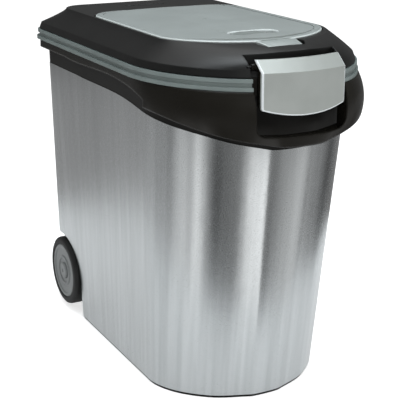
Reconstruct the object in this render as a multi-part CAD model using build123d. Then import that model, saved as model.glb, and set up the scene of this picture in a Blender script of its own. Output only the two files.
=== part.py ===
from build123d import *
from math import cos, pi, sin, sqrt
import os

# Wheeled dry food bin with a hinged lid, a pour flap and a front latch.
# Millimetres. The floor is Z 0, the rounded nose points to -Y, the hinges and wheels are at +Y.

# Driving dimensions
BAND_HALF_WIDTH = 137.5
BAND_REAR = 237.0
BAND_CORNER = 30.0
BAND_NOSE_CENTRE = -88.0
BAND_NOSE_DEPTH = 156.0
BAND_NOSE_POWER = 1.92
BASE_HALF_WIDTH = 112.0
BASE_NOSE_CENTRE = -76.0
BASE_NOSE_DEPTH = 96.0
BASE_NOSE_POWER = 1.8
BASE_CORNER = 8.0
TUB_TOP_HALF_WIDTH = 127.9
TUB_TOP_NOSE_CENTRE = -99.8
TUB_TOP_NOSE_DEPTH = 126.4
TUB_TOP_CORNER = 36.0
TUB_REAR = 229.0
TUB_WALL = 2.4
TUB_FLOOR = 3.0
RIM_TOP = 401.2
RIM_REFERENCE = 403.6
FOOT_HEIGHT = 3.0
FOOT_INSET = 1.5

# Wheel bay, axle and wheels
AXLE_Y = 197.0
AXLE_Z = 56.0
AXLE_RADIUS = 4.0
AXLE_HALF_LENGTH = 118.0
WHEEL_RADIUS = 49.0
WHEEL_INNER_X = 100.0
WHEEL_OUTER_X = 121.0
HUB_RADIUS = 38.4
BAY_RADIUS = 52.5
BAY_TOP = 110.0
HANGER_HALF_SPAN = 90.0
RUNNING_GAP = 0.06

# Collar, grey band and carry loop
SKIRT_INSET = 3.0
SKIRT_WALL = 2.6
COLLAR_TOP = 404.0
BAND_BOTTOM = 390.5
BAND_TOP = 403.6
LOW_RIB_INSET = -1.5
SKIRT_TOP = 390.3
WINDOW_HALF_WIDTH = 57.0
WINDOW_CORNER = 12.0
LOOP_TOP = 342.0
KEEPER_FRONT_INSET = 5.2
KEEPER_WALL_INSET = 7.0

# Lid
LID_INSET = 2.0
LID_BOTTOM = 404.4
LID_FOLD = 412.0
LID_TAPER = 3.0
LID_MIDDLE = 424.8
LID_TOP = 433.0
LID_WALL = 2.6
POCKET_BACK = -204.0
POCKET_BOW = 14.0
POCKET_FLOOR = 411.0
POCKET_WALL = 2.4

# Pour flap
FLAP_HALF_WIDTH = 104.5
FLAP_REAR = 118.0
FLAP_CORNER = 40.0
FLAP_NOSE_CENTRE = -98.0
FLAP_NOSE_DEPTH = 82.0
FLAP_NOSE_POWER = 1.75
FLAP_BOTTOM = 428.6
FLAP_TOP = 434.4
FLAP_GAP = 1.3
FLAP_LEDGE = 8.0
LEDGE_TOP = 427.6
FRAME_WIDTH = 9.5
PANEL_GAP = 0.6
PANEL_CROWN = 2.0
RECESS_Y = -129.0
RECESS_LENGTH = 62.0
RECESS_WIDTH = 26.0
RECESS_DEPTH = 5.5
RECESS_DRAFT = 7.0
CATCH_HALF_WIDTH = 24.5
CATCH_TIP_HALF_WIDTH = 20.5
CATCH_TIP = -200.0
CATCH_GAP = 2.0

# Hinges
LID_HINGE_Y = 241.8
LID_HINGE_Z = 409.0
KNUCKLE_RADIUS = 5.2
LID_PIN_RADIUS = 2.2
HINGE_CENTRES = (-70.0, 70.0)
FLAP_HINGE_Y = 115.4
FLAP_HINGE_Z = 431.4
FLAP_PIN_RADIUS = 1.5
FLAP_PIN_HALF_LENGTH = 12.0
FLAP_EAR_HALF_WIDTH = 4.0
FLAP_EAR_RADIUS = 2.6
FLAP_HINGE_CENTRES = (-45.0, 45.0)
# Relief in the lid's rim behind the flap's rear corners, where the frame's top edge swings past
FLAP_SWING_RADIUS = 3.7
FLAP_RELIEF_INNER = 66.0
FLAP_RELIEF_OUTER = 86.0
FLAP_RELIEF_BOTTOM = 430.0
LATCH_PIN_Y = -219.0
LATCH_PIN_Z = 415.0
LATCH_PIN_RADIUS = 1.5
LATCH_BARREL_RADIUS = 3.4

# Latch cover
LATCH_HALF_WIDTH = 52.0
LATCH_FRONT = -247.0
LATCH_BACK = -218.0
LATCH_BOW = 8.5
LATCH_FOLD = 411.0
LATCH_TOP = 423.0
LATCH_TOP_SETBACK = 14.5
LATCH_BOTTOM = 370.5
LATCH_SAG = 7.0
LATCH_CORNER = 3.0
COVER_WALL = 1.5
COVER_RETURN = 4.5
CARRIER_WALL = 2.6

NOSE_STEPS = 6


def blend(low, high, share):
    """Value between low and high."""
    return low + (high - low) * share


def half_nose(side, half, shoulder, depth, power, z):
    """Superellipse edge from the shoulder to the nose tip."""
    points = []
    for step in range(NOSE_STEPS + 1):
        angle = pi / 2 * step / NOSE_STEPS
        across = side * half * max(cos(angle), 0.0) ** (2 / power)
        points.append((across, shoulder - depth * sin(angle) ** (2 / power), z))
    points[-1] = (0.0, shoulder - depth, z)
    return Spline(*points, tangents=[(0, -1, 0), (-side, 0, 0)])


def plan(half, rear, corner, shoulder, depth, power, z=0.0):
    """Face at height z: straight sides, rounded rear corners, rounded nose towards -Y."""
    turn = corner * (1 - sqrt(0.5))
    edges = [
        half_nose(1, half, shoulder, depth, power, z),
        half_nose(-1, half, shoulder, depth, power, z),
        Line((-half, shoulder, z), (-half, rear - corner, z)),
        ThreePointArc(
            (-half, rear - corner, z), (-half + turn, rear - turn, z), (-half + corner, rear, z)
        ),
        Line((-half + corner, rear, z), (half - corner, rear, z)),
        ThreePointArc(
            (half - corner, rear, z), (half - turn, rear - turn, z), (half, rear - corner, z)
        ),
        Line((half, rear - corner, z), (half, shoulder, z)),
    ]
    return Face(Wire(edges))


def rim_plan(inset, z=0.0):
    """The grey band's outline, moved in by inset."""
    return plan(
        BAND_HALF_WIDTH - inset,
        BAND_REAR - inset,
        BAND_CORNER - inset,
        BAND_NOSE_CENTRE,
        BAND_NOSE_DEPTH - inset,
        BAND_NOSE_POWER,
        z,
    )


def tub_plan(z, inset=0.0):
    """The tub wall's outline at height z, moved in by inset."""
    share = z / RIM_REFERENCE
    return plan(
        blend(BASE_HALF_WIDTH, TUB_TOP_HALF_WIDTH, share) - inset,
        TUB_REAR - inset,
        blend(BASE_CORNER, TUB_TOP_CORNER, share) - inset,
        blend(BASE_NOSE_CENTRE, TUB_TOP_NOSE_CENTRE, share),
        blend(BASE_NOSE_DEPTH, TUB_TOP_NOSE_DEPTH, share) - inset,
        blend(BASE_NOSE_POWER, 2.0, share),
        z,
    )


def flap_plan(grow, z=0.0):
    """The flap's outline, moved out by grow."""
    return plan(
        FLAP_HALF_WIDTH + grow,
        FLAP_REAR + grow,
        FLAP_CORNER + grow,
        FLAP_NOSE_CENTRE,
        FLAP_NOSE_DEPTH + grow,
        FLAP_NOSE_POWER,
        z,
    )


def prism(face, top):
    """The face, drawn at its own height, extruded up to height top."""
    return extrude(face, amount=top - face.center().Z, dir=(0, 0, 1))


def rim_ring(outer_inset, inner_inset, bottom, top):
    """Ring that follows the band's outline."""
    return prism(rim_plan(outer_inset, bottom), top) - prism(rim_plan(inner_inset, bottom), top)


def flap_ring(outer_grow, inner_grow, bottom, top):
    """Ring that follows the flap's outline."""
    return prism(flap_plan(outer_grow, bottom), top) - prism(flap_plan(inner_grow, bottom), top)


def block(x0, x1, y0, y1, z0, z1):
    """Box between two corners."""
    centre = ((x0 + x1) / 2, (y0 + y1) / 2, (z0 + z1) / 2)
    return Pos(*centre) * Box(x1 - x0, y1 - y0, z1 - z0)


def rod(radius, x0, x1, y, z):
    """Cylinder along X."""
    return Pos((x0 + x1) / 2, y, z) * Rot(0, 90, 0) * Cylinder(radius, x1 - x0)


def side_prism(points, x0, x1):
    """Polygon of (y, z) points extruded along X from x0 to x1."""
    outline = Polyline(*[(x0, y, z) for y, z in points], close=True)
    return extrude(Face(Wire(outline.edges())), amount=x1 - x0, dir=(1, 0, 0))


def flat_prism(points, bottom, top):
    """Polygon of (x, y) points between two heights."""
    outline = Polyline(*[(x, y, bottom) for x, y in points], close=True)
    return prism(Face(Wire(outline.edges())), top)


def front_prism(half, bottom, sag, corner, top):
    """Front view along Y: square top, rounded lower corners, a lower edge that sags in the middle."""
    turn = corner * (1 - sqrt(0.5))
    near, inner = -300.0, half - corner
    edges = [
        Line((-half, near, top), (-half, near, bottom + corner)),
        ThreePointArc(
            (-half, near, bottom + corner), (-half + turn, near, bottom + turn), (-inner, near, bottom)
        ),
        ThreePointArc((-inner, near, bottom), (0, near, bottom - sag), (inner, near, bottom)),
        ThreePointArc(
            (inner, near, bottom), (half - turn, near, bottom + turn), (half, near, bottom + corner)
        ),
        Line((half, near, bottom + corner), (half, near, top)),
        Line((half, near, top), (-half, near, top)),
    ]
    return extrude(Face(Wire(edges)), amount=150, dir=(0, 1, 0))


def below_curve(points, low=-20.0, span=160.0):
    """Everything under a curve of (y, z) points that runs from the nose to the rear."""
    start, end = points[0], points[-1]
    curve = Spline(*[(-span, y, z) for y, z in points])
    edges = [
        curve,
        Line((-span, *end), (-span, end[0] + 120, end[1])),
        Line((-span, end[0] + 120, end[1]), (-span, end[0] + 120, low)),
        Line((-span, end[0] + 120, low), (-span, start[0], low)),
        Line((-span, start[0], low), (-span, *start)),
    ]
    return extrude(Face(Wire(edges)), amount=2 * span, dir=(1, 0, 0))


def mirrored(part):
    """The part and its mirror image on the other side."""
    return [part, mirror(part, about=Plane.YZ)]


def save(name, shapes):
    """Write one node's solids."""
    found = []
    for shape in shapes if isinstance(shapes, (list, tuple)) else [shapes]:
        found.extend(shape.solids())
    node = found[0] if len(found) == 1 else Compound(children=found)
    export_step(node, f"parts/{name}.step")


def wheel_bay(grow=0.0):
    """Space under the rear of the tub for the wheels and their axle."""
    arc = rod(BAY_RADIUS + grow, -200, 200, AXLE_Y, AXLE_Z)
    front = block(-200, 200, AXLE_Y - BAY_RADIUS - grow, 300, -50, AXLE_Z)
    top = block(-200, 200, AXLE_Y, 300, AXLE_Z, BAY_TOP + grow)
    return arc + front + top


def tub_form(inset, bottom):
    """Tapered body from height bottom to the rim, moved in by inset."""
    whole = loft([tub_plan(0, inset), tub_plan(RIM_REFERENCE, inset)])
    return whole & block(-200, 200, -300, 300, bottom, RIM_TOP)


def hanger(x):
    """Web and bored boss that carry the axle in the wheel bay."""
    front, top = AXLE_Y - BAY_RADIUS - 1, BAY_TOP + 1
    plate = [
        (front, 30.0),
        (front, AXLE_Z + 20),
        (AXLE_Y - 28, top - 3),
        (AXLE_Y + 5, top),
        (AXLE_Y + 5, AXLE_Z),
        (AXLE_Y, AXLE_Z - 6),
        (AXLE_Y - 12, AXLE_Z - 9),
    ]
    web = side_prism(plate, x - 1.5, x + 1.5) + rod(8.0, x - 4, x + 4, AXLE_Y, AXLE_Z)
    return web - rod(AXLE_RADIUS, x - 9, x + 9, AXLE_Y, AXLE_Z)


def tub():
    """Thin walled tub with the wheel bay, axle hangers and a hollow foot."""
    foot = prism(tub_plan(0, FOOT_INSET), FOOT_HEIGHT + 1)
    outer = (tub_form(0, FOOT_HEIGHT) + foot) - wheel_bay()
    inner = tub_form(TUB_WALL, TUB_FLOOR + 1.5) - wheel_bay(TUB_WALL)
    shell = outer - inner
    hollow = prism(tub_plan(-1, 9.0), 1.5) - block(-200, 200, AXLE_Y - BAY_RADIUS - 8, 300, -5, 5)
    shell -= hollow
    for x in (-HANGER_HALF_SPAN, -30.0, 30.0, HANGER_HALF_SPAN):
        shell += hanger(x) - inner
    return shell


SLEEVE_SKIN = 0.6
SLEEVE_EDGE = [(-226, 312), (-212, 321.5), (-188, 333.5), (-150, 343), (-100, 351), (-50, 357), (0, 358.5)]
SKIRT_NOSE_EDGE = [(-247, 326), (-238, 331.5), (-216, 341.6), (-193, 349), (-166, 355), (-131, 359.2), (-119, 360)]
SKIRT_SIDE_EDGE = [(-119, 368.5), (-102, 373.6), (-68, 378.8), (-30, 381), (26, 380), (120, 379.5)]


def steel_look_sleeve():
    """Thin bright skin round the sides and nose of the tub, from the foot up to a falling curve."""
    outside = tub_form(-SLEEVE_SKIN, FOOT_HEIGHT + 1) - tub_form(0, 0)
    rear_cut = [(204.0, 366.0), (260.0, 366.0), (260.0, -10.0), (225.8, -10.0)]
    sleeve = outside & below_curve(SLEEVE_EDGE + [(100, 358.5)])
    sleeve -= side_prism(rear_cut, -200, 200)
    return sleeve - wheel_bay(1.2)


def ear(x0, x1):
    """Hinge ear at the collar's rear wall."""
    skirt = BAND_REAR - SKIRT_INSET - 1
    behind_band = BAND_REAR - LOW_RIB_INSET + 0.3
    outline = [
        (skirt, 379.0),
        (behind_band + 1, 379.0),
        (LID_HINGE_Y + KNUCKLE_RADIUS, 389.0),
        (LID_HINGE_Y + KNUCKLE_RADIUS, LID_HINGE_Z),
        (LID_HINGE_Y, LID_HINGE_Z),
        (behind_band, LID_HINGE_Z - 2.6),
        (behind_band, BAND_BOTTOM - 0.3),
        (skirt, BAND_BOTTOM - 0.3),
    ]
    return side_prism(outline, x0, x1) + rod(KNUCKLE_RADIUS, x0, x1, LID_HINGE_Y, LID_HINGE_Z)


def ears():
    """All four ears of the lid hinge."""
    return [
        ear(centre + side * 15.3 - 3, centre + side * 15.3 + 3)
        for centre in HINGE_CENTRES
        for side in (-1, 1)
    ]


def skirt_section(inset, z, half, depth, power):
    """The skirt's outline at height z, moved in by inset."""
    rear, corner = BAND_REAR - SKIRT_INSET - inset, BAND_CORNER - SKIRT_INSET - inset
    return plan(half - inset, rear, corner, BAND_NOSE_CENTRE, depth - inset, power, z)


def skirt_form(inset):
    """The skirt's outer form below the band: it swells at the nose and draws in at the loop."""
    return loft([
        skirt_section(inset, 322, 134.5, 154.0, 1.95),
        skirt_section(inset, 352, 136.5, 158.5, 2.3),
        skirt_section(inset, 376, 135.5, 158.0, 2.3),
        skirt_section(inset, SKIRT_TOP, 135.0, 155.0, 2.1),
    ])


def collar():
    """Clip-on collar: skirt with a falling lower edge, channel over the tub rim, latch window and loop."""
    skirt = skirt_form(0) - skirt_form(SKIRT_WALL)
    upper = rim_ring(SKIRT_INSET, SKIRT_INSET + SKIRT_WALL, SKIRT_TOP - 2.4, COLLAR_TOP)
    bridge = prism(skirt_section(0, SKIRT_TOP - 2.2, 135.0, 155.0, 2.1), SKIRT_TOP)
    bridge -= prism(rim_plan(SKIRT_INSET + SKIRT_WALL, SKIRT_TOP - 3), SKIRT_TOP)
    skirt += upper + bridge
    skirt -= below_curve(SKIRT_NOSE_EDGE) + below_curve(SKIRT_SIDE_EDGE)
    window = front_prism(WINDOW_HALF_WIDTH, LOOP_TOP, 1.0, WINDOW_CORNER, 420)
    skirt -= window
    inner = prism(tub_plan(384, TUB_WALL + 3.2), COLLAR_TOP)
    web = prism(rim_plan(SKIRT_INSET, RIM_TOP), COLLAR_TOP) - inner
    web -= window - prism(rim_plan(KEEPER_WALL_INSET, LOOP_TOP), 420)
    leg = prism(tub_plan(384, TUB_WALL + 0.8), COLLAR_TOP) - inner
    front = block(-WINDOW_HALF_WIDTH - 3, WINDOW_HALF_WIDTH + 3, -300, -150, 382, COLLAR_TOP)
    keeper_wall = rim_ring(KEEPER_WALL_INSET, KEEPER_WALL_INSET + 2, 384, COLLAR_TOP) & front
    lip = rim_ring(KEEPER_FRONT_INSET, KEEPER_WALL_INSET + 1, 388, 391)
    lip &= block(-46, 46, -300, -150, 380, 400)
    shelf = skirt_form(1.0) - prism(rim_plan(12.0, 320), COLLAR_TOP)
    shelf &= block(-WINDOW_HALF_WIDTH - 3, WINDOW_HALF_WIDTH + 3, -300, -150, LOOP_TOP - 3.6, LOOP_TOP - 1)
    body = skirt + web + leg + keeper_wall + lip + shelf
    inside = skirt_form(1.0) + prism(rim_plan(SKIRT_INSET + 1, SKIRT_TOP - 2), COLLAR_TOP)
    inside -= prism(rim_plan(8.8, 320), COLLAR_TOP)
    cheek = block(WINDOW_HALF_WIDTH, WINDOW_HALF_WIDTH + 2.4, -300, -150, 340, COLLAR_TOP) & inside
    for side in mirrored(cheek):
        body += side
    for part in ears():
        body += part
    for centre in HINGE_CENTRES:
        body -= rod(LID_PIN_RADIUS, centre - 20, centre + 20, LID_HINGE_Y, LID_HINGE_Z)
    return body


def rim_band():
    """Grey band with two ribs and a valley, open at the latch."""
    core = rim_ring(1.9, SKIRT_INSET, BAND_BOTTOM, BAND_TOP)
    low = rim_ring(LOW_RIB_INSET, SKIRT_INSET, BAND_BOTTOM, BAND_BOTTOM + 4.2)
    high = rim_ring(0.0, SKIRT_INSET, BAND_TOP - 4.2, BAND_TOP)
    band = core + low + high
    return band - block(-WINDOW_HALF_WIDTH, WINDOW_HALF_WIDTH, -300, -150, 380, 420)


def axle_rod():
    """Steel axle across the wheel bay."""
    return rod(AXLE_RADIUS, -AXLE_HALF_LENGTH, AXLE_HALF_LENGTH, AXLE_Y, AXLE_Z)


def axle_push_nuts():
    """Push-on caps that hold the wheels on the axle ends."""
    nut = rod(7.0, 114.4, 116.4, AXLE_Y, AXLE_Z) - rod(AXLE_RADIUS, 110, 120, AXLE_Y, AXLE_Z)
    return mirrored(nut)


def lid_hinge_pins():
    """One pin through each pair of ears."""
    return [
        rod(LID_PIN_RADIUS, centre - 18.3, centre + 18.3, LID_HINGE_Y, LID_HINGE_Z)
        for centre in HINGE_CENTRES
    ]


def spun(profile):
    """Turn a closed (x, radius) outline about the wheel axle, on the +X side."""
    outline = Polyline(*[(x, AXLE_Y + r, AXLE_Z) for x, r in profile], close=True)
    axis = Axis((0, AXLE_Y, AXLE_Z), (1, 0, 0))
    return revolve(Face(Wire(outline.edges())), axis, 360)


def tyre():
    """Tyre with rounded shoulders and a shallow step down to the hub."""
    inner, outer = WHEEL_INNER_X, WHEEL_OUTER_X
    profile = [
        (inner, HUB_RADIUS),
        (inner, WHEEL_RADIUS - 3),
        (inner + 1, WHEEL_RADIUS - 1),
        (inner + 3, WHEEL_RADIUS),
        (outer - 4.5, WHEEL_RADIUS),
        (outer - 2, WHEEL_RADIUS - 1),
        (outer - 0.5, WHEEL_RADIUS - 3.2),
        (outer, WHEEL_RADIUS - 5.5),
        (outer, HUB_RADIUS + 1.6),
        (outer - 1.2, HUB_RADIUS),
    ]
    return spun(profile)


def wheel_hub():
    """Hub with a bore, a sunk inner side and rings on its outer face."""
    inner, face = WHEEL_INNER_X, WHEEL_OUTER_X - 0.4
    bore = AXLE_RADIUS + RUNNING_GAP
    profile = [
        (inner - 4, bore),
        (inner - 4, 8.0),
        (inner + 6, 8.0),
        (inner + 6, HUB_RADIUS - 3),
        (inner, HUB_RADIUS - 3),
        (inner, HUB_RADIUS),
        (face - 1, HUB_RADIUS),
        (face, HUB_RADIUS - 1),
        (face, HUB_RADIUS - 4),
        (face - 1.4, HUB_RADIUS - 6),
        (face - 1.8, 22.0),
        (face - 0.4, 20.5),
        (face - 0.4, 18.5),
        (face - 1.8, 17.0),
        (face - 2.0, 12.0),
        (114.0, 12.0),
        (114.0, bore),
    ]
    return spun(profile)


def hub_cap():
    """Snap-in cap over the axle end."""
    face = WHEEL_OUTER_X + 0.6
    profile = [
        (119.0, 0.0),
        (119.0, 8.5),
        (114.0, 8.5),
        (114.0, 12.0),
        (face - 2.0, 12.0),
        (face - 0.6, 11.0),
        (face, 9.0),
        (face, 3.0),
        (face - 1.0, 2.0),
        (face - 1.0, 0.0),
    ]
    return spun(profile)


def lid_form(inset, bottom, drop):
    """The lid's outer form, moved in by inset and down by drop."""
    fold = LID_FOLD - drop
    start = LID_INSET + LID_TAPER * (bottom - LID_BOTTOM) / (LID_FOLD - LID_BOTTOM)
    wall = loft([rim_plan(start + inset, bottom), rim_plan(LID_INSET + LID_TAPER + inset, fold)])
    top = loft([
        rim_plan(LID_INSET + LID_TAPER + inset, fold),
        plan(116 - inset, 220.5 - inset, 43 - inset, -88.0, 138.0 - inset, 1.93, LID_MIDDLE - drop),
        plan(108 - inset, 205 - inset, 32 - inset, -90.0, 99.0 - inset, 2.0, LID_TOP - drop),
    ])
    return wall + top


def latch_bay(half, back, bottom, top):
    """Notch for the latch: straight sides and a back that bows towards the nose."""
    near = -300.0
    edges = [
        ThreePointArc((half, back, bottom), (0, back - POCKET_BOW, bottom), (-half, back, bottom)),
        Line((-half, back, bottom), (-half, near, bottom)),
        Line((-half, near, bottom), (half, near, bottom)),
        Line((half, near, bottom), (half, back, bottom)),
    ]
    return prism(Face(Wire(edges)), top)


def flap_ear(centre):
    """Lid ear that carries one flap pin."""
    x0, x1 = centre - FLAP_EAR_HALF_WIDTH, centre + FLAP_EAR_HALF_WIDTH
    y0, y1 = FLAP_HINGE_Y - FLAP_EAR_RADIUS, FLAP_HINGE_Y + FLAP_EAR_RADIUS
    ear_top = rod(FLAP_EAR_RADIUS, x0, x1, FLAP_HINGE_Y, FLAP_HINGE_Z)
    return block(x0, x1, y0, y1, LEDGE_TOP - 2.4, FLAP_HINGE_Z) + ear_top


def lid_shell():
    """Lid with its flap recess, pour opening, latch pocket and rear knuckles."""
    body = lid_form(0, LID_BOTTOM, 0) - lid_form(LID_WALL, LID_BOTTOM - 5, LID_WALL)
    seat = flap_ring(FLAP_GAP + 2.4, -FLAP_LEDGE, LEDGE_TOP - 2.4, LID_TOP - 1)
    seat &= lid_form(1.0, LID_BOTTOM, 1.0)
    chute = flap_ring(-FLAP_LEDGE, -FLAP_LEDGE - 2.2, 412, LEDGE_TOP)
    catch_pad = block(-34, 34, CATCH_TIP - 5, -180, LEDGE_TOP - 2.4, 440) & lid_form(0.5, LID_BOTTOM, 0.5)
    body += seat + chute + catch_pad
    body -= prism(flap_plan(FLAP_GAP, LEDGE_TOP), 460)
    body -= prism(flap_plan(-FLAP_LEDGE - 2.2, 400), 460)
    case = latch_bay(WINDOW_HALF_WIDTH + POCKET_WALL, POCKET_BACK + 5, POCKET_FLOOR - POCKET_WALL, 440)
    body += case & lid_form(0.5, LID_BOTTOM, 0.5)
    body += rim_ring(LID_INSET + LID_TAPER, 12.6, 407.4, 409.6)
    body -= latch_bay(WINDOW_HALF_WIDTH, POCKET_BACK, POCKET_FLOOR, 450)
    below = block(-WINDOW_HALF_WIDTH, WINDOW_HALF_WIDTH, -260, -150, 400, 450)
    body -= below - prism(rim_plan(KEEPER_WALL_INSET + 0.6, 400), 450)
    reach = WINDOW_HALF_WIDTH + POCKET_WALL
    body -= rod(LATCH_BARREL_RADIUS + 0.8, -WINDOW_HALF_WIDTH, WINDOW_HALF_WIDTH, LATCH_PIN_Y, LATCH_PIN_Z)
    body -= rod(LATCH_PIN_RADIUS, -reach, reach, LATCH_PIN_Y, LATCH_PIN_Z)
    catch_bay = [(-27, -172), (27, -172), (30, -189), (23, CATCH_TIP - 1.5), (-23, CATCH_TIP - 1.5), (-30, -189)]
    body -= flat_prism(catch_bay, LEDGE_TOP, 450)
    body -= Pos(0, 165, LID_TOP + 1.0) * extrude(SlotOverall(58, 7), amount=-3.0)
    for centre in HINGE_CENTRES:
        x0, x1 = centre - 12, centre + 12
        body += rod(KNUCKLE_RADIUS, x0, x1, LID_HINGE_Y, LID_HINGE_Z)
        body += block(x0, x1, BAND_REAR - LID_INSET - LID_TAPER - 2, LID_HINGE_Y, 405.0, 411.0)
        body -= rod(LID_PIN_RADIUS + RUNNING_GAP, x0 - 5, x1 + 5, LID_HINGE_Y, LID_HINGE_Z)
    swing = rod(FLAP_SWING_RADIUS, FLAP_RELIEF_INNER, FLAP_RELIEF_OUTER, FLAP_HINGE_Y, FLAP_HINGE_Z)
    relief = swing & block(FLAP_RELIEF_INNER, FLAP_RELIEF_OUTER, 100, 130, FLAP_RELIEF_BOTTOM, 450)
    body -= relief
    body -= mirror(relief, Plane.YZ)
    for centre in FLAP_HINGE_CENTRES:
        body += flap_ear(centre)
        pin_start, pin_end = centre - FLAP_PIN_HALF_LENGTH, centre + FLAP_PIN_HALF_LENGTH
        body -= rod(FLAP_PIN_RADIUS, pin_start, pin_end, FLAP_HINGE_Y, FLAP_HINGE_Z)
    return body


def lid_gasket():
    """Seal under the lid rim, just clear of the collar."""
    return rim_ring(7.6, 12.2, COLLAR_TOP + 0.3, 407.4)


def flap_seal():
    """Seal on the ledge under the flap, open on the hinge side."""
    return flap_ring(-2.0, -6.5, LEDGE_TOP, LEDGE_TOP + 0.7) - block(-120, 120, 104, 125, 420, 440)


def latch_pin():
    """Pin that the latch swings on."""
    reach = WINDOW_HALF_WIDTH + POCKET_WALL
    return rod(LATCH_PIN_RADIUS, -reach, reach, LATCH_PIN_Y, LATCH_PIN_Z)


def flap_hinge_pins():
    """One short pin for each flap hinge."""
    reach = FLAP_PIN_HALF_LENGTH
    return [
        rod(FLAP_PIN_RADIUS, centre - reach, centre + reach, FLAP_HINGE_Y, FLAP_HINGE_Z)
        for centre in FLAP_HINGE_CENTRES
    ]


def flap_frame():
    """Flap frame with a panel seat, slots for the lid's ears and a notch for the catch."""
    frame = prism(flap_plan(0, FLAP_BOTTOM), FLAP_TOP - 1.2)
    frame += loft([flap_plan(0, FLAP_TOP - 1.2), flap_plan(-1.4, FLAP_TOP)])
    frame -= prism(flap_plan(-FRAME_WIDTH, FLAP_BOTTOM + 1.6), 450)
    frame -= prism(flap_plan(-FRAME_WIDTH - 3.0, 400), 450)
    frame -= block(-90, 90, FLAP_HINGE_Y + 1.2, FLAP_REAR + 5, 420, FLAP_BOTTOM + 1.4)
    slot = FLAP_EAR_HALF_WIDTH + 0.5
    for centre in FLAP_HINGE_CENTRES:
        frame -= block(centre - slot, centre + slot, FLAP_HINGE_Y - 4, FLAP_REAR + 5, 420, 450)
        pin_start, pin_end = centre - FLAP_PIN_HALF_LENGTH - 0.5, centre + FLAP_PIN_HALF_LENGTH + 0.5
        frame -= rod(FLAP_PIN_RADIUS + RUNNING_GAP, pin_start, pin_end, FLAP_HINGE_Y, FLAP_HINGE_Z)
    notch = CATCH_HALF_WIDTH + CATCH_GAP
    return frame - block(-notch, notch, -200, FLAP_NOSE_CENTRE - FLAP_NOSE_DEPTH + 3.2, 420, 450)


def flap_crown(drop):
    """Long cylinder whose top is the panel's crown, lowered by drop."""
    radius = 93.0 ** 2 / (2 * PANEL_CROWN)
    top = FLAP_TOP - 0.5 + PANEL_CROWN - drop
    return Pos(0, -20, top - radius) * Rot(90, 0, 0) * Cylinder(radius, 400)


def flap_panel():
    """Crowned panel in the frame, hollow below, with a finger recess and a moulding dimple."""
    seat, top = FLAP_BOTTOM + 1.6, FLAP_TOP - 0.5 + PANEL_CROWN
    panel = prism(flap_plan(-FRAME_WIDTH - PANEL_GAP, seat), top) & flap_crown(0)
    under = prism(flap_plan(-FRAME_WIDTH - 5.0, seat - 1), top) & flap_crown(2.4)
    pad = Pos(0, RECESS_Y, seat - 2) * extrude(SlotOverall(RECESS_LENGTH + 6, RECESS_WIDTH + 6), amount=9)
    panel -= under - pad
    floor = SlotOverall(RECESS_LENGTH - 2 * RECESS_DRAFT, RECESS_WIDTH - 2 * RECESS_DRAFT)
    mouth = SlotOverall(RECESS_LENGTH, RECESS_WIDTH)
    recess = loft([Pos(0, RECESS_Y, top - RECESS_DEPTH) * floor, Pos(0, RECESS_Y, top) * mouth])
    panel -= recess
    return panel - Pos(0, -12, top + 0.1) * Cylinder(2.6, 0.9)


def flap_catch():
    """Catch tongue at the flap's nose, which lies over the lid's slope."""
    back, root = FLAP_NOSE_CENTRE - FLAP_NOSE_DEPTH + 3.2, -181.0
    side_view = [
        (back, FLAP_BOTTOM),
        (back, FLAP_TOP - 0.8),
        (root - 3, FLAP_TOP - 0.9),
        (CATCH_TIP + 0.8, 431.2),
        (CATCH_TIP, 430.6),
        (CATCH_TIP, 429.4),
        (CATCH_TIP + 1.0, 429.0),
        (root - 3, 430.8),
        (root, FLAP_BOTTOM),
    ]
    top_view = [
        (-CATCH_HALF_WIDTH, back + 1),
        (CATCH_HALF_WIDTH, back + 1),
        (CATCH_HALF_WIDTH, root),
        (CATCH_TIP_HALF_WIDTH, CATCH_TIP - 1),
        (-CATCH_TIP_HALF_WIDTH, CATCH_TIP - 1),
        (-CATCH_HALF_WIDTH, root),
    ]
    return side_prism(side_view, -CATCH_HALF_WIDTH, CATCH_HALF_WIDTH) & flat_prism(top_view, 425, 440)


def latch_plan(inset, front, z, back):
    """The latch's outline at height z: bowed front and straight sides."""
    half, corner = LATCH_HALF_WIDTH - inset, front + LATCH_BOW + inset
    edges = [
        ThreePointArc((half, corner, z), (0, front + inset, z), (-half, corner, z)),
        Line((-half, corner, z), (-half, back, z)),
        Line((-half, back, z), (half, back, z)),
        Line((half, back, z), (half, corner, z)),
    ]
    return Face(Wire(edges))


def latch_form(inset, back=LATCH_BACK):
    """The latch's outer form with a slanted top facet, every face moved in by inset."""
    fold = LATCH_FOLD - inset * 0.5
    top_front = LATCH_FRONT + LATCH_TOP_SETBACK
    low = prism(latch_plan(inset, LATCH_FRONT, 350, back), fold)
    top = loft([
        latch_plan(inset, LATCH_FRONT, fold, back),
        latch_plan(inset, top_front, LATCH_TOP - inset, back),
    ])
    keep = front_prism(LATCH_HALF_WIDTH - inset, LATCH_BOTTOM + inset, LATCH_SAG, LATCH_CORNER, 440)
    return (low + top) & keep


def latch_cover():
    """Silver cover plate: face, top facet and short returns round the edge."""
    shell = latch_form(0) - latch_form(COVER_WALL, LATCH_BACK + 20)
    return shell - Pos(0, COVER_RETURN + 1.0, 0) * latch_form(-1.0, 0)


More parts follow.
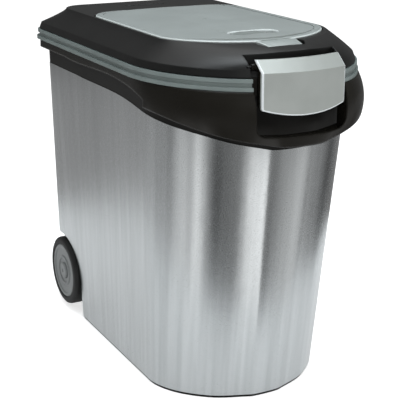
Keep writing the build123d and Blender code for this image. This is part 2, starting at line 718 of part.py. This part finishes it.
def latch_carrier():
    """Dark carrier behind the cover: sides, top web, hinge barrel and two hooks, open below."""
    inside = latch_form(COVER_WALL + CARRIER_WALL, 0)
    carrier = latch_form(COVER_WALL) - inside - Pos(0, 0, -12) * inside
    keeper_clear = prism(rim_plan(KEEPER_FRONT_INSET - 0.4, 340), POCKET_FLOOR + 1)
    carrier -= keeper_clear
    swing_line = [
        (-221.6, 417.2),
        (-229.0, 423.4),
        (-229.0, 440.0),
        (-200.0, 440.0),
        (-200.0, 405.0),
        (-221.6, 405.0),
    ]
    carrier -= side_prism(swing_line, -46, 46)
    top_web = [
        (LATCH_PIN_Y, LATCH_PIN_Z - 2.6),
        (LATCH_PIN_Y - 1.5, LATCH_PIN_Z + 1.3),
        (-221.6, 417.2),
        (-226.8, 421.5),
        (-231.0, 421.5),
        (-231.0, 418.8),
        (-227.0, 418.4),
        (-222.0, LATCH_PIN_Z - 2.6),
    ]
    behind_cover = latch_form(COVER_WALL, LATCH_BACK + 40)
    carrier += side_prism(top_web, -48.0, 48.0) & behind_cover
    carrier += rod(LATCH_BARREL_RADIUS, -55.0, 55.0, LATCH_PIN_Y, LATCH_PIN_Z)
    for x in (-30.0, 30.0):
        hook = block(x - 7, x + 7, LATCH_FRONT + 3.4, -200, 382.6, 387.2)
        carrier += hook & (latch_form(COVER_WALL + 0.5, LATCH_BACK + 40) - keeper_clear)
    return carrier - rod(LATCH_PIN_RADIUS + RUNNING_GAP, -70, 70, LATCH_PIN_Y, LATCH_PIN_Z)


os.makedirs("parts", exist_ok=True)
save("tub", tub())
save("steel_look_sleeve", steel_look_sleeve())
save("collar", collar())
save("rim_band", rim_band())
save("axle_rod", axle_rod())
save("axle_push_nuts", axle_push_nuts())
save("lid_hinge_pins", lid_hinge_pins())
save("lid_shell", lid_shell())
save("lid_gasket", lid_gasket())
save("flap_seal", flap_seal())
save("latch_pin", latch_pin())
save("flap_hinge_pins", flap_hinge_pins())
save("flap_frame", flap_frame())
save("flap_panel", flap_panel())
save("flap_catch", flap_catch())
save("latch_cover", latch_cover())
save("latch_carrier", latch_carrier())
for make in (tyre, wheel_hub, hub_cap):
    right, left = mirrored(make())
    save(f"{make.__name__}_right", right)
    save(f"{make.__name__}_left", left)
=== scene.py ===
from math import cos, pi, radians, sin

import bmesh
import bpy
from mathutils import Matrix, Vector


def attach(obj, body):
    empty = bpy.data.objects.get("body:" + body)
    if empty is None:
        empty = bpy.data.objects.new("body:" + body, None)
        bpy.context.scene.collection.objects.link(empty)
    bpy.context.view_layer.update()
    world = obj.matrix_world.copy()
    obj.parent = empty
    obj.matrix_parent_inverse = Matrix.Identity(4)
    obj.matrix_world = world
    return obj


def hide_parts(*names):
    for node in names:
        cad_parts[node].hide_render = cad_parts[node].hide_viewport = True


# Looks for a wheeled dry food bin: a steel-look skin on a black tub, a charcoal lid and collar,
# a grey rim band and pour flap, and a silver latch.

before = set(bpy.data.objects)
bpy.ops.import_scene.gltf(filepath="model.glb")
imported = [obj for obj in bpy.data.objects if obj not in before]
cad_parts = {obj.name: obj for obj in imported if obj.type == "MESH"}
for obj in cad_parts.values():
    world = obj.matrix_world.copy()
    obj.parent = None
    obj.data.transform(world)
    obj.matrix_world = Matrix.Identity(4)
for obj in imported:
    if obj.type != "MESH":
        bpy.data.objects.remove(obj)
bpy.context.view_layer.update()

# One millimetre in scene units
MM = 0.001

# The tub's plan grows by this share for each metre of height, about a line at its rear wall
TUB_FLARE = 0.34
TUB_REAR_Y = 229 * MM

# A finish turns from its first tone to its second between these levels of its patches, and from
# its smoothest to its roughest between these levels of its grain
TONE_TURNS = (0.35, 0.65)
GLOSS_TURNS = (0.3, 0.7)
PATCH_DETAIL = 2.0
GRAIN_DETAIL = 3.0
SOFT_EDGE_SAMPLES = 6


def linear(hex_colour):
    """An sRGB hex colour as the linear RGBA that a shader socket takes."""
    parts = [int(hex_colour[i:i + 2], 16) / 255 for i in (1, 3, 5)]
    return [p / 12.92 if p <= 0.04045 else ((p + 0.055) / 1.055) ** 2.4 for p in parts] + [1.0]


def grey(level):
    """A neutral colour of this linear brightness."""
    return (level, level, level, 1)


def add(tree, kind, values=None, links=None, **settings):
    """Adds one shader node with its settings, input values and incoming links."""
    made = tree.nodes.new(kind)
    for name, value in settings.items():
        setattr(made, name, value)
    for socket, value in (values or {}).items():
        made.inputs[socket].default_value = value
    for socket, source in (links or {}).items():
        tree.links.new(source, made.inputs[socket])
    return made


def new_tree(owner):
    """An empty node tree on a material or world."""
    owner.use_nodes = True
    owner.node_tree.nodes.clear()
    return owner.node_tree


def along_tub_wall(tree, place):
    """A place with the tub's flare taken out, so that upright lines follow the wall."""
    height = add(tree, "ShaderNodeSeparateXYZ", links={"Vector": place}).outputs["Z"]
    flare = add(
        tree, "ShaderNodeMath", {1: TUB_FLARE, 2: 1.0}, {0: height}, operation="MULTIPLY_ADD"
    ).outputs["Value"]
    spread = add(tree, "ShaderNodeCombineXYZ", {"Z": 1.0}, {"X": flare, "Y": flare})
    from_rear = add(
        tree, "ShaderNodeVectorMath", {1: (0, TUB_REAR_Y, 0)}, {0: place}, operation="SUBTRACT"
    )
    return add(
        tree,
        "ShaderNodeVectorMath",
        links={0: from_rear.outputs["Vector"], 1: spread.outputs["Vector"]},
        operation="DIVIDE",
    ).outputs["Vector"]


def mottle(tree, place, across_mm, up_mm, detail):
    """An uneven pattern whose spots are across_mm wide and up_mm high."""
    across, up = 1 / (across_mm * MM), 1 / (up_mm * MM)
    scaled = add(tree, "ShaderNodeMapping", {"Scale": (across, across, up)}, {"Vector": place})
    return add(
        tree,
        "ShaderNodeTexNoise",
        {"Scale": 1.0, "Detail": detail},
        {"Vector": scaled.outputs["Vector"]},
    ).outputs["Fac"]


def finish(
    name, colours, patch_mm, grain_mm, depth_mm, rough, swing,
    edge_mm=0.0, follows_wall=False, sockets=None,
):
    """A material: colour that drifts between two tones in patches, a fine grain in bump and gloss.

    patch_mm and grain_mm are (across, up) sizes, and depth_mm is the grain's height. The grain
    moves the roughness by swing to either side of rough. Sharp edges are softened to a radius of
    edge_mm. follows_wall leans the pattern with the tub's wall, and sockets holds any other plain
    values of the shader.
    """
    made = bpy.data.materials.new(name)
    tree = new_tree(made)
    place = add(tree, "ShaderNodeTexCoord").outputs["Object"]
    if follows_wall:
        place = along_tub_wall(tree, place)
    patches = mottle(tree, place, *patch_mm, PATCH_DETAIL)
    tone = add(tree, "ShaderNodeValToRGB", links={"Fac": patches})
    for stop, colour, at in zip(tone.color_ramp.elements, colours, TONE_TURNS):
        stop.position = at
        stop.color = linear(colour)
    grain = mottle(tree, place, *grain_mm, GRAIN_DETAIL)
    smoothest, roughest = GLOSS_TURNS
    gloss = add(
        tree,
        "ShaderNodeMapRange",
        {
            "From Min": smoothest,
            "From Max": roughest,
            "To Min": rough - swing,
            "To Max": rough + swing,
        },
        {"Value": grain},
    )
    bump_links = {"Height": grain}
    if edge_mm:
        soft_edge = add(
            tree, "ShaderNodeBevel", {"Radius": edge_mm * MM}, samples=SOFT_EDGE_SAMPLES
        )
        bump_links["Normal"] = soft_edge.outputs["Normal"]
    bump = add(tree, "ShaderNodeBump", {"Distance": depth_mm * MM}, bump_links)
    shader = add(
        tree,
        "ShaderNodeBsdfPrincipled",
        sockets,
        {
            "Base Color": tone.outputs["Color"],
            "Roughness": gloss.outputs["Result"],
            "Normal": bump.outputs["Normal"],
        },
    )
    add(tree, "ShaderNodeOutputMaterial", links={"Surface": shader.outputs["BSDF"]})
    return made


# Metallised film with an upright brush: mirrors the room in upright bands, with fine soft streaks
steel_film = finish(
    "brushed_metallised_film", ("#b5b8b9", "#c1c4c5"),
    patch_mm=(9, 260), grain_mm=(0.8, 1.1), depth_mm=0.003, rough=0.25, swing=0.04,
    follows_wall=True,
    sockets={"Metallic": 1.0, "Anisotropic": 0.8, "Anisotropic Rotation": 0.25},
)
# Moulded polypropylene with a low polish: near black with a brown cast and soft reflections
collar_pp = finish(
    "polished_black_polypropylene", ("#181612", "#1d1b17"),
    patch_mm=(60, 60), grain_mm=(1.2, 1.2), depth_mm=0.006, rough=0.22, swing=0.03,
    edge_mm=3.0, sockets={"Specular IOR Level": 0.26},
)
# The lid's polypropylene has a finer matt grain, so lamps spread wide on its slopes
lid_pp = finish(
    "grained_charcoal_polypropylene", ("#0f0f0e", "#151514"),
    patch_mm=(70, 70), grain_mm=(0.9, 0.9), depth_mm=0.02, rough=0.36, swing=0.04,
    edge_mm=2.0, sockets={"Specular IOR Level": 0.52},
)
# Plain moulded tub wall, satin from the tool
tub_pp = finish(
    "satin_black_polypropylene", ("#151412", "#1a1917"),
    patch_mm=(80, 80), grain_mm=(1.2, 1.2), depth_mm=0.015, rough=0.42, swing=0.04,
    edge_mm=0.6, sockets={"Specular IOR Level": 0.16},
)
# Grey moulded band: smooth ribs that catch a thin light line along their tops
band_pp = finish(
    "satin_grey_polypropylene", ("#727c7a", "#7a8482"),
    patch_mm=(40, 40), grain_mm=(0.8, 0.8), depth_mm=0.01, rough=0.32, swing=0.04,
    edge_mm=0.7, sockets={"IOR": 1.5},
)
# Light grey flap: even satin with a cool cast and a faint grain
flap_pp = finish(
    "satin_light_grey_polypropylene", ("#929896", "#989e9c"),
    patch_mm=(50, 50), grain_mm=(0.7, 0.7), depth_mm=0.012, rough=0.34, swing=0.04,
    edge_mm=0.3, sockets={"IOR": 1.5},
)
# The flap's rolled edges are smoother, and a much paler colour paints a highlight on them: a
# painted light line round each piece
painted_highlight_flap_rim = finish(
    "light_grey_edge_painted_highlight", ("#c4cac8", "#ccd2d0"),
    patch_mm=(30, 30), grain_mm=(0.6, 0.6), depth_mm=0.002, rough=0.22, swing=0.03,
    sockets={"IOR": 1.5},
)
# Silver paint over plastic: flakes give a soft, nearly neutral metallic sheen
silver_paint = finish(
    "silver_painted_abs", ("#abafab", "#b1b5b1"),
    patch_mm=(30, 30), grain_mm=(0.5, 0.5), depth_mm=0.004, rough=0.36, swing=0.05,
    sockets={"Metallic": 0.3, "IOR": 1.5},
)
# The same paint on the rim, smoother and much paler: a painted highlight that brightens the light
# line the rounded rim catches
latch_rim_painted_highlight = finish(
    "painted_highlight_latch_rim", ("#e9eeef", "#eff3f4"),
    patch_mm=(10, 10), grain_mm=(0.5, 0.5), depth_mm=0.002, rough=0.24, swing=0.04,
    sockets={"Metallic": 0.15, "IOR": 1.5},
)
# Moulded hub and cap, a good deal lighter than the tyre
hub_pp = finish(
    "moulded_grey_hub_polypropylene", ("#6c6f6f", "#737676"),
    patch_mm=(25, 25), grain_mm=(0.8, 0.8), depth_mm=0.015, rough=0.4, swing=0.04,
    edge_mm=0.6, sockets={"IOR": 1.5},
)
# Soft tyre rubber: dull, with a faint dusty bloom
tyre_rubber = finish(
    "dull_tyre_rubber", ("#131313", "#1b1b1b"),
    patch_mm=(12, 12), grain_mm=(1.0, 1.0), depth_mm=0.04, rough=0.62, swing=0.06,
    edge_mm=0.8, sockets={"Specular IOR Level": 0.35},
)
# Seal rubber: dull and even
seal_rubber = finish(
    "soft_seal_rubber", ("#202020", "#262626"),
    patch_mm=(10, 10), grain_mm=(1.0, 1.0), depth_mm=0.02, rough=0.6, swing=0.05,
    sockets={"IOR": 1.5},
)
# Drawn steel: bright, with the drawing marks along the rod
drawn_steel = finish(
    "bright_drawn_steel", ("#a9aaab", "#b8b9ba"),
    patch_mm=(8, 0.6), grain_mm=(4, 0.4), depth_mm=0.004, rough=0.28, swing=0.05,
    sockets={"Metallic": 1.0},
)
# Blackened steel for the latch pin, whose ends hardly show in the notch
dark_steel = finish(
    "blackened_pin_steel", ("#141414", "#1a1a1a"),
    patch_mm=(3, 3), grain_mm=(0.6, 0.6), depth_mm=0.003, rough=0.4, swing=0.05,
    sockets={"IOR": 1.5},
)

FINISHES = {
    "tub": tub_pp,
    "steel_look_sleeve": steel_film,
    "collar": collar_pp,
    "rim_band": band_pp,
    "axle_rod": drawn_steel,
    "axle_push_nuts": drawn_steel,
    "lid_hinge_pins": drawn_steel,
    "lid_shell": lid_pp,
    "lid_gasket": seal_rubber,
    "flap_seal": seal_rubber,
    "latch_pin": dark_steel,
    "flap_hinge_pins": drawn_steel,
    "flap_frame": flap_pp,
    "flap_panel": flap_pp,
    "flap_catch": flap_pp,
    "latch_cover": silver_paint,
    "latch_carrier": collar_pp,
}
for side in ("left", "right"):
    FINISHES[f"tyre_{side}"] = tyre_rubber
    FINISHES[f"wheel_hub_{side}"] = hub_pp
    FINISHES[f"hub_cap_{side}"] = hub_pp
for node_name, material in FINISHES.items():
    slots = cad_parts[node_name].data.materials
    slots.clear()
    slots.append(material)


# Corners of a node's mesh within this distance are one, and faces within this angle are flat
WELD = MM / 200
FLAT = radians(0.5)

# Shading turns sharp where two faces meet at more than this angle
SHARP_EDGE = radians(28)

# The latch cover has a rounded rim round its face, which catches the light as a bright line, and
# the rim's paler paint adds a painted highlight to that line.
# Its face looks forward, lies in front of this line and ends in an edge steeper than this angle.
RIM_WIDTH = 1.7 * MM
RIM_STEPS = 3
LATCH_FACE_REAR = -225 * MM
LATCH_FACE_FORWARD = 0.5
LATCH_FACE_EDGE = radians(50)

# The flap's finger recess is a slot along X: its middle, half the length of its straight part,
# its half width at the mouth and the height of its floor
RECESS_Y = -129 * MM
RECESS_HALF_STRAIGHT = 18 * MM
RECESS_HALF_WIDTH = 13 * MM
RECESS_FLOOR_Z = 430.4 * MM

# An edge of the mouth is this close to the slot's outline, this far above its floor at least, and
# steeper than this angle. It is rolled to a lip.
MOUTH_REACH = 1.6 * MM
MOUTH_RISE = 2 * MM
MOUTH_ANGLE = radians(25)
LIP_WIDTH = 1.2 * MM
LIP_STEPS = 3

# The floor's corners are found this close to its height. All but those near the slot's middle
# line move out by the widening.
FLOOR_REACH = 0.06 * MM
FLOOR_MIDDLE = 1 * MM
FLOOR_WIDENING = 5 * MM

# The flap frame's outer chamfer starts above this height, its two edges turn by an angle in this
# range, and both are rolled. Its faces slope: the upward part of their normal is in this range.
CHAMFER_FOOT = 432.9 * MM
CHAMFER_ANGLES = (radians(35), radians(60))
CHAMFER_SLOPES = (0.2, 0.97)
CHAMFER_ROLL = 0.6 * MM
ROLL_STEPS = 2

# The catch tongue is rolled along its upper edges in front of the line where it meets the frame
CATCH_ROOT_Y = -178 * MM
CATCH_UPWARD = 0.7
CATCH_EDGE_ANGLE = radians(45)
CATCH_ROLL = 0.7 * MM


def editable_copy(node_name):
    """A node's mesh with its split corners joined and its flat triangles merged."""
    shape = bmesh.new()
    shape.from_mesh(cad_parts[node_name].data)
    bmesh.ops.remove_doubles(shape, verts=shape.verts, dist=WELD)
    bmesh.ops.dissolve_limit(shape, angle_limit=FLAT, verts=shape.verts, edges=shape.edges)
    return shape


def joined_edges(shape):
    """The edges at which two faces meet."""
    return [edge for edge in shape.edges if len(edge.link_faces) == 2]


def lowest(edge):
    """The height of an edge's lower end."""
    return min(corner.co.z for corner in edge.verts)


def rounded_over(shape, edges, width, steps):
    """Rounds the edges over and gives back the new faces."""
    return bmesh.ops.bevel(
        shape, geom=edges, offset=width, offset_type="OFFSET", segments=steps, profile=0.5,
        affect="EDGES", clamp_overlap=False,
    )["faces"]


def dress(shape, second_faces):
    """Gives these faces the piece's second material, and all others its first."""
    for face in shape.faces:
        face.material_index = 0
    for face in second_faces:
        face.material_index = 1


def stand_in(shape, name, body, node_name, materials):
    """Makes the shape a piece that rides on a body in place of a node."""
    for face in shape.faces:
        face.smooth = True
    for edge in shape.edges:
        edge.smooth = len(edge.link_faces) == 2 and edge.calc_face_angle() < SHARP_EDGE
    mesh = bpy.data.meshes.new(name)
    shape.to_mesh(mesh)
    shape.free()
    for material in materials:
        mesh.materials.append(material)
    piece = bpy.data.objects.new(name, mesh)
    bpy.context.collection.objects.link(piece)
    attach(piece, body)
    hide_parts(node_name)


def on_latch_face(face):
    """True for the latch cover's bowed face and the facet above it."""
    in_front = face.calc_center_median().y < LATCH_FACE_REAR
    return face.normal.y < -LATCH_FACE_FORWARD and in_front


def rimmed_latch_cover():
    """The latch cover with the outer edge of its face rounded over."""
    shape = editable_copy("latch_cover")
    outline = [
        edge
        for edge in joined_edges(shape)
        if on_latch_face(edge.link_faces[0]) != on_latch_face(edge.link_faces[1])
        and edge.calc_face_angle() > LATCH_FACE_EDGE
    ]
    # The rounded rim takes the paler rim paint, a painted highlight
    dress(shape, rounded_over(shape, outline, RIM_WIDTH, RIM_STEPS))
    stand_in(shape, "latch_cover_rimmed", "latch", "latch_cover", [silver_paint, latch_rim_painted_highlight])


def from_recess_middle(place):
    """The way out to a place, level, from the nearest point of the finger recess's middle line."""
    nearest_x = max(-RECESS_HALF_STRAIGHT, min(RECESS_HALF_STRAIGHT, place.x))
    return Vector((place.x - nearest_x, place.y - RECESS_Y, 0))


def on_recess_outline(edge):
    """True where both ends of an edge are on the slot's outline, seen from above."""
    ways = [from_recess_middle(corner.co).length for corner in edge.verts]
    return all(abs(way - RECESS_HALF_WIDTH) < MOUTH_REACH for way in ways)


def lipped_flap_panel():
    """The flap panel with steep walls to its finger recess and a rolled lip round the mouth."""
    shape = editable_copy("flap_panel")
    mouth = [
        edge
        for edge in joined_edges(shape)
        if on_recess_outline(edge)
        and edge.calc_face_angle() > MOUTH_ANGLE
        and lowest(edge) > RECESS_FLOOR_Z + MOUTH_RISE
    ]
    for corner in shape.verts:
        way = from_recess_middle(corner.co)
        on_floor = abs(corner.co.z - RECESS_FLOOR_Z) < FLOOR_REACH
        if on_floor and FLOOR_MIDDLE < way.length < RECESS_HALF_WIDTH - FLOOR_WIDENING:
            corner.co += way.normalized() * FLOOR_WIDENING
    # The rolled lip takes the paler edge material, a painted highlight round the recess's mouth
    dress(shape, rounded_over(shape, mouth, LIP_WIDTH, LIP_STEPS))
    stand_in(shape, "flap_panel_lipped", "flap", "flap_panel", [flap_pp, painted_highlight_flap_rim])


def on_chamfer(face):
    """True for the sloping faces of the flap frame's outer chamfer and its rolled edges."""
    flattest, steepest = CHAMFER_SLOPES
    slopes = flattest < face.normal.z < steepest
    return slopes and face.calc_center_median().z > CHAMFER_FOOT


def edged_flap_frame():
    """The flap frame with its outer chamfer rolled smooth."""
    shape = editable_copy("flap_frame")
    least, most = CHAMFER_ANGLES
    chamfer = [
        edge
        for edge in joined_edges(shape)
        if lowest(edge) > CHAMFER_FOOT and least < edge.calc_face_angle() < most
    ]
    rounded_over(shape, chamfer, CHAMFER_ROLL, ROLL_STEPS)
    # The chamfer faces take the paler edge material, a painted highlight line round the frame
    dress(shape, [face for face in shape.faces if on_chamfer(face)])
    stand_in(shape, "flap_frame_edged", "flap", "flap_frame", [flap_pp, painted_highlight_flap_rim])


def edged_flap_catch():
    """The catch tongue with its upper edges rolled."""
    shape = editable_copy("flap_catch")
    upper = [
        edge
        for edge in joined_edges(shape)
        if max(face.normal.z for face in edge.link_faces) > CATCH_UPWARD
        and edge.calc_face_angle() > CATCH_EDGE_ANGLE
        and min(corner.co.y for corner in edge.verts) < CATCH_ROOT_Y
    ]
    # The rolled upper edges take the paler edge material, a painted highlight
    dress(shape, rounded_over(shape, upper, CATCH_ROLL, ROLL_STEPS))
    stand_in(shape, "flap_catch_edged", "flap", "flap_catch", [flap_pp, painted_highlight_flap_rim])


rimmed_latch_cover()
lipped_flap_panel()
edged_flap_frame()
edged_flap_catch()


# The world lights the object softly from all round, and is white where the camera, gloss or a
# clear part looks straight at it
WORLD_FILL = 0.58
WORLD_WHITE = 1.0

# The floor's own shade, and the glow that shows it white to the camera and paler in gloss
FLOOR_SIZE = 12
FLOOR_SHADE = 0.85
FLOOR_GLOW = 0.62
FLOOR_GLOW_IN_GLOSS = 0.22


def studio_world():
    """A fill on the object, and white beyond the set."""
    world = bpy.data.worlds.new("studio")
    bpy.context.scene.world = world
    tree = new_tree(world)
    rays = add(tree, "ShaderNodeLightPath")
    direct = add(
        tree,
        "ShaderNodeMath",
        links={0: rays.outputs["Is Camera Ray"], 1: rays.outputs["Is Glossy Ray"]},
        operation="MAXIMUM",
    )
    seen = add(
        tree,
        "ShaderNodeMath",
        links={0: direct.outputs["Value"], 1: rays.outputs["Is Transmission Ray"]},
        operation="MAXIMUM",
    )
    fill = add(tree, "ShaderNodeBackground", {"Color": grey(1), "Strength": WORLD_FILL})
    white = add(tree, "ShaderNodeBackground", {"Color": grey(1), "Strength": WORLD_WHITE})
    both = add(
        tree,
        "ShaderNodeMixShader",
        links={
            0: seen.outputs["Value"],
            1: fill.outputs["Background"],
            2: white.outputs["Background"],
        },
    )
    add(tree, "ShaderNodeOutputWorld", links={"Surface": both.outputs["Shader"]})


def pale_floor_finish():
    """Plain matt floor that keeps the object's shadow and glows up to white where it is seen."""
    made = bpy.data.materials.new("plain_pale_floor")
    tree = new_tree(made)
    rays = add(tree, "ShaderNodeLightPath")
    in_gloss = add(
        tree,
        "ShaderNodeMath",
        {1: FLOOR_GLOW_IN_GLOSS},
        {0: rays.outputs["Is Glossy Ray"]},
        operation="MULTIPLY",
    )
    seen = add(
        tree,
        "ShaderNodeMath",
        links={0: rays.outputs["Is Camera Ray"], 1: rays.outputs["Is Transmission Ray"]},
        operation="MAXIMUM",
    )
    strength = add(
        tree,
        "ShaderNodeMath",
        {1: FLOOR_GLOW},
        {0: seen.outputs["Value"], 2: in_gloss.outputs["Value"]},
        operation="MULTIPLY_ADD",
    )
    matt = add(tree, "ShaderNodeBsdfDiffuse", {"Color": grey(FLOOR_SHADE)})
    glow = add(
        tree, "ShaderNodeEmission", {"Color": grey(1)}, {"Strength": strength.outputs["Value"]}
    )
    lifted = add(
        tree, "ShaderNodeAddShader", links={0: matt.outputs["BSDF"], 1: glow.outputs["Emission"]}
    )
    add(tree, "ShaderNodeOutputMaterial", links={"Surface": lifted.outputs["Shader"]})
    return made


studio_world()
bpy.ops.mesh.primitive_plane_add(size=FLOOR_SIZE, location=(0, 0, 0))
floor = bpy.context.object
floor.name = "floor"
floor.data.materials.append(pale_floor_finish())

# A round screen of dark and bright strips, seen only in gloss, gives the film its upright bands
SCREEN_CENTRE_Y = 172 * MM
SCREEN_RADIUS = 525 * MM
SCREEN_HEIGHT = 1.1
SCREEN_SIDES = 96

# Each row is a strip: its direction from the axis of the bin's nose, in degrees from -Y towards
# +X, and its brightness
NOSE_AXIS_Y = -90 * MM
STRIPS = [
    (-160, 0.44), (-156, 0.36), (-150, 0.44), (-143, 0.41), (-125, 0.49), (-102, 0.40),
    (-88, 0.64), (-80, 1.05), (-70, 0.66), (-62, 1.45), (-54, 0.38), (-46, 0.07), (-36, 0.20),
    (-27, 0.22), (-20, 0.30), (-16, 0.95), (-12, 1.70), (-8, 1.35), (-4, 0.36), (6, 0.24),
    (15, 0.34), (24, 0.70), (34, 0.84), (43, 0.74), (53, 0.70), (66, 0.32), (80, 0.10),
    (100, 0.20), (130, 0.30),
]

# Above the strips the screen is an even room, darker at the rear and high up: each change is
# centred on a height and fades this far to either side, or runs between two places along Y
STRIPS_TOP = 0.26
STRIPS_FADE = 0.045
ROOM_FRONT = 0.32
ROOM_REAR = 0.14
ROOM_FRONT_TOP = 0.33
ROOM_FRONT_FADE = 0.03
ROOM_FRONT_END_Y = -0.3
ROOM_REAR_START_Y = 0.05


def reflected_screen():
    """The round screen, open at the top, with its faces turned inwards."""
    corners, faces = [], []
    for step in range(SCREEN_SIDES):
        angle = 2 * pi * step / SCREEN_SIDES
        x, y = SCREEN_RADIUS * cos(angle), SCREEN_CENTRE_Y + SCREEN_RADIUS * sin(angle)
        corners += [(x, y, 0), (x, y, SCREEN_HEIGHT)]
        start, after = 2 * step, 2 * ((step + 1) % SCREEN_SIDES)
        faces.append((start + 1, after + 1, after, start))
    mesh = bpy.data.meshes.new("reflected_screen")
    mesh.from_pydata(corners, [], faces)
    screen = bpy.data.objects.new("reflected_screen", mesh)
    bpy.context.collection.objects.link(screen)
    for kind in ("camera", "diffuse", "transmission", "volume_scatter", "shadow"):
        setattr(screen, f"visible_{kind}", False)
    return screen


def strips_finish():
    """Light from the screen: strips side by side, with the even room above them."""
    made = bpy.data.materials.new("studio_strips")
    tree = new_tree(made)
    place = add(tree, "ShaderNodeTexCoord").outputs["Object"]
    from_nose = add(
        tree, "ShaderNodeMapping", {"Location": (0, -NOSE_AXIS_Y, 0)}, {"Vector": place}
    )
    turn = add(
        tree,
        "ShaderNodeTexGradient",
        links={"Vector": from_nose.outputs["Vector"]},
        gradient_type="RADIAL",
    )
    strips = add(tree, "ShaderNodeValToRGB", links={"Fac": turn.outputs["Fac"]})
    stops = strips.color_ramp.elements
    while len(stops) < len(STRIPS):
        stops.new(0.5)
    # The radial gradient is 0 at -90 degrees, 0.25 at 0 and wraps at 270
    by_turn = sorted((((angle + 90) % 360) / 360, level) for angle, level in STRIPS)
    for stop, (at, level) in zip(stops, by_turn):
        stop.position = at
        stop.color = grey(level)

    split = add(tree, "ShaderNodeSeparateXYZ", links={"Vector": place})
    height, depth = split.outputs["Z"], split.outputs["Y"]
    rearward = add(
        tree,
        "ShaderNodeMapRange",
        {"From Min": ROOM_FRONT_END_Y, "From Max": ROOM_REAR_START_Y},
        {"Value": depth},
    )
    high = add(
        tree,
        "ShaderNodeMapRange",
        {
            "From Min": ROOM_FRONT_TOP - ROOM_FRONT_FADE,
            "From Max": ROOM_FRONT_TOP + ROOM_FRONT_FADE,
        },
        {"Value": height},
    )
    dark = add(
        tree,
        "ShaderNodeMath",
        links={0: rearward.outputs["Result"], 1: high.outputs["Result"]},
        operation="MAXIMUM",
    )
    room = add(
        tree,
        "ShaderNodeMixRGB",
        {"Color1": grey(ROOM_FRONT), "Color2": grey(ROOM_REAR)},
        {"Fac": dark.outputs["Value"]},
    )
    above = add(
        tree,
        "ShaderNodeMapRange",
        {"From Min": STRIPS_TOP - STRIPS_FADE, "From Max": STRIPS_TOP + STRIPS_FADE},
        {"Value": height},
    )
    light = add(
        tree,
        "ShaderNodeMixRGB",
        links={
            "Fac": above.outputs["Result"],
            "Color1": strips.outputs["Color"],
            "Color2": room.outputs["Color"],
        },
    )
    shine = add(tree, "ShaderNodeEmission", links={"Color": light.outputs["Color"]})
    add(tree, "ShaderNodeOutputMaterial", links={"Surface": shine.outputs["Emission"]})
    return made


screen = reflected_screen()
screen.data.materials.append(strips_finish())


def softbox(name, place, aim, size, watts, colour):
    """A rectangular studio lamp at place that points at aim."""
    lamp = bpy.data.lights.new(name, "AREA")
    lamp.shape = "RECTANGLE"
    lamp.size, lamp.size_y = size
    lamp.energy = watts
    lamp.color = colour
    box = bpy.data.objects.new(name, lamp)
    bpy.context.collection.objects.link(box)
    box.location = place
    box.rotation_euler = (Vector(aim) - Vector(place)).to_track_quat("-Z", "Y").to_euler()


# A wide cool lamp over the bin and a small white one far in front of it
softbox(
    "overhead", place=(0.05, -0.35, 2.0), aim=(0.05, -0.35, 0), size=(2.2, 1.3), watts=26,
    colour=(0.86, 0.95, 1.0),
)
softbox(
    "front", place=(-0.2, -2.3, 1.4), aim=(0, 0, 0.25), size=(1.0, 1.0), watts=14,
    colour=(1, 1, 1),
)

# The photograph's view: from the front left and a little above
CAMERA_PLACE = (-0.6227, -1.1942, 0.6251)
CAMERA_TILT_DOWN = 17.522
CAMERA_TURN_RIGHT = 27.506
CAMERA_SENSOR_MM = 36
CAMERA_LENS_MM = 97.85

camera_data = bpy.data.cameras.new("camera")
camera = bpy.data.objects.new("camera", camera_data)
bpy.context.collection.objects.link(camera)
camera.location = CAMERA_PLACE
camera.rotation_euler = (radians(90 - CAMERA_TILT_DOWN), 0, radians(-CAMERA_TURN_RIGHT))
camera_data.sensor_width = CAMERA_SENSOR_MM
camera_data.lens = CAMERA_LENS_MM
bpy.context.scene.camera = camera
bpy.context.scene.view_settings.view_transform = "Standard"
